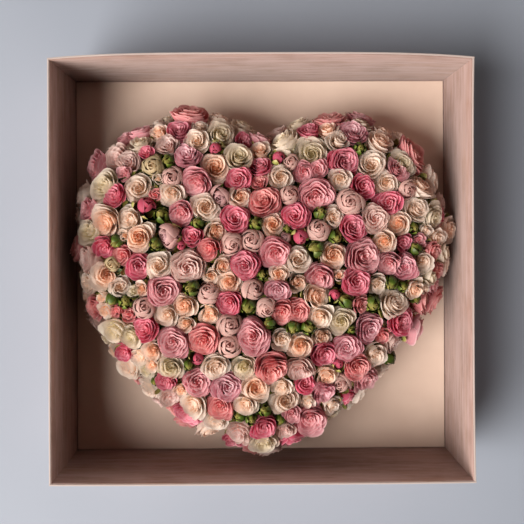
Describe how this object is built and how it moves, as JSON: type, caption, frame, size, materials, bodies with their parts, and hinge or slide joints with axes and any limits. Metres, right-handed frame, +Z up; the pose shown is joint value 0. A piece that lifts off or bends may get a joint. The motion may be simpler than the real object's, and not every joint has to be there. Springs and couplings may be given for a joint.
{
  "type": "box of mini roses",
  "caption": "Open square gift box lined in dusty pink paper, holding a heart of spray roses in pinks, cream and ivory planted in floral foam.",
  "frame": {"origin": "centre of the box's underside", "axes": "+Z up out of the box, +Y towards the heart's two lobes, so the heart's tip points to -Y"},
  "size_m": [0.5, 0.5, 0.14],
  "materials": {
    "wrapped_board": "greyboard wrapped in matte dusty pink paper",
    "lining_paper": "streaky suede-like dusty pink paper",
    "floor_card": "smooth matte peach-beige card",
    "foam_backing": "moulded white polystyrene backing",
    "floral_foam": "wet green phenolic floral foam",
    "rose_petals": "rose petals in deep pink, salmon, rose, mauve, blush, peach, cream and ivory",
    "rose_greens": "waxy green sepals, buds, leaves and stems"
  },
  "bodies": {
    "root": {"base_board": "wrapped_board", "wall_board_front": "wrapped_board", "wall_board_back": "wrapped_board", "wall_board_left": "wrapped_board", "wall_board_right": "wrapped_board", "lining_front": "lining_paper", "lining_back": "lining_paper", "lining_left": "lining_paper", "lining_right": "lining_paper", "floor_card": "floor_card", "foam_backing": "foam_backing", "foam_heart": "floral_foam", "rose_spray_01": "rose_petals", "rose_spray_02": "rose_petals", "rose_spray_03": "rose_petals", "rose_spray_04": "rose_petals", "rose_spray_05": "rose_petals", "rose_spray_06": "rose_petals", "rose_spray_07": "rose_petals", "rose_spray_08": "rose_petals", "rose_spray_09": "rose_petals", "rose_spray_10": "rose_petals", "rose_spray_11": "rose_petals", "rose_spray_12": "rose_petals", "rose_spray_13": "rose_petals", "rose_spray_14": "rose_petals", "rose_spray_15": "rose_petals", "rose_spray_16": "rose_petals", "rose_spray_17": "rose_petals", "rose_spray_18": "rose_petals", "rose_spray_19": "rose_petals", "rose_spray_20": "rose_petals", "rose_spray_21": "rose_petals", "rose_spray_22": "rose_petals", "rose_spray_23": "rose_petals", "rose_spray_24": "rose_petals", "rose_spray_25": "rose_petals", "rose_spray_26": "rose_petals", "rose_spray_27": "rose_petals", "rose_spray_28": "rose_petals", "rose_spray_29": "rose_petals", "rose_spray_30": "rose_petals", "rose_spray_31": "rose_petals", "rose_spray_32": "rose_petals", "rose_spray_33": "rose_petals", "rose_spray_34": "rose_petals", "rose_spray_35": "rose_petals", "rose_spray_36": "rose_petals"}
  },
  "joints": []
}
